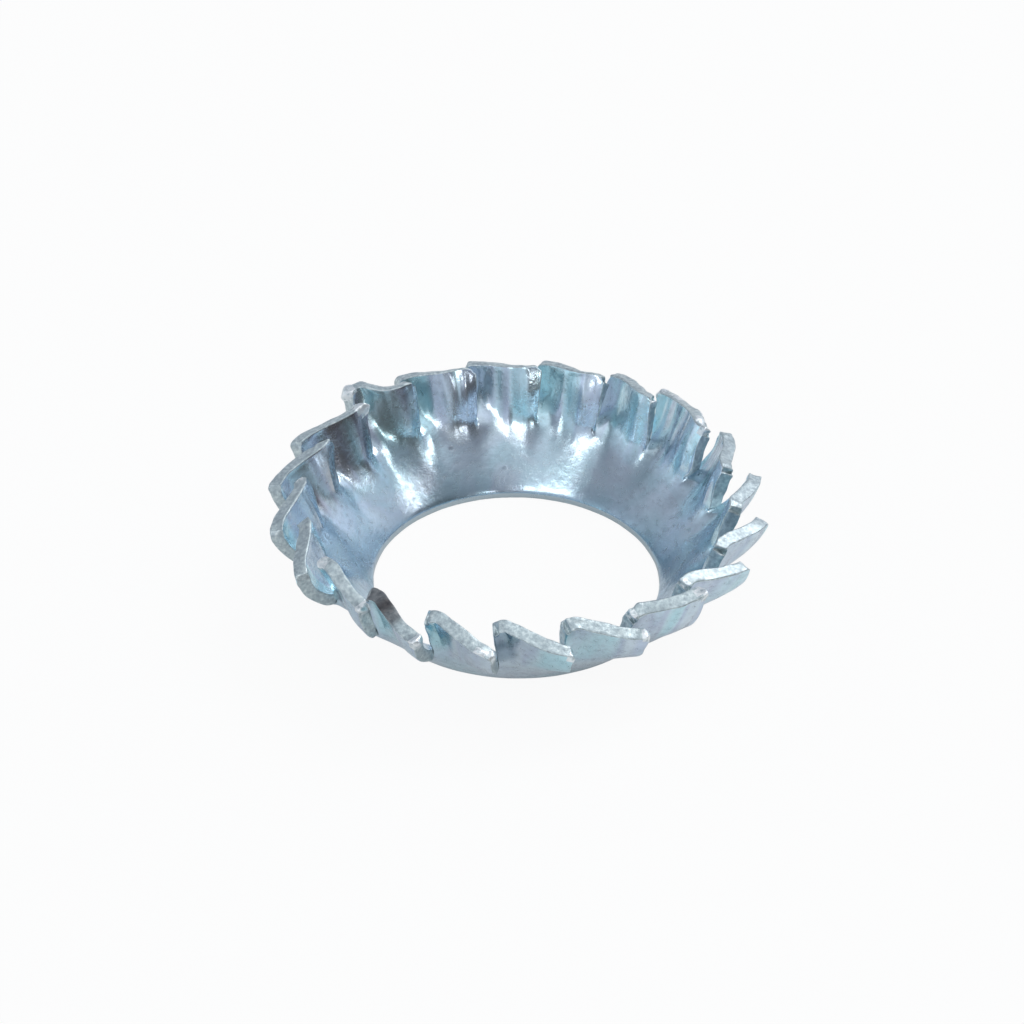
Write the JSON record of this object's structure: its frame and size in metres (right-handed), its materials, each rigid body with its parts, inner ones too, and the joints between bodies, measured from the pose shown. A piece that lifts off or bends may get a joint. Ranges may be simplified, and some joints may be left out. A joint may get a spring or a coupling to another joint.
{
  "type": "toothed lock washer",
  "caption": "Countersunk lock washer: a coned spring-steel ring with twisted teeth round its wide rim, for a flat-head screw.",
  "frame": {"origin": "centre of the bore's lower edge, on the plane that the small end stands on", "axes": "+Z is the washer's axis, from the small end towards the teeth; +X passes under the raised edge of one tooth"},
  "size_m": [0.0184, 0.0184, 0.0043],
  "materials": {
    "zinc_plate": "bright zinc plating with a clear blue passivation over spring steel"
  },
  "bodies": {
    "root": {"lock_washer": "zinc_plate"}
  },
  "joints": []
}
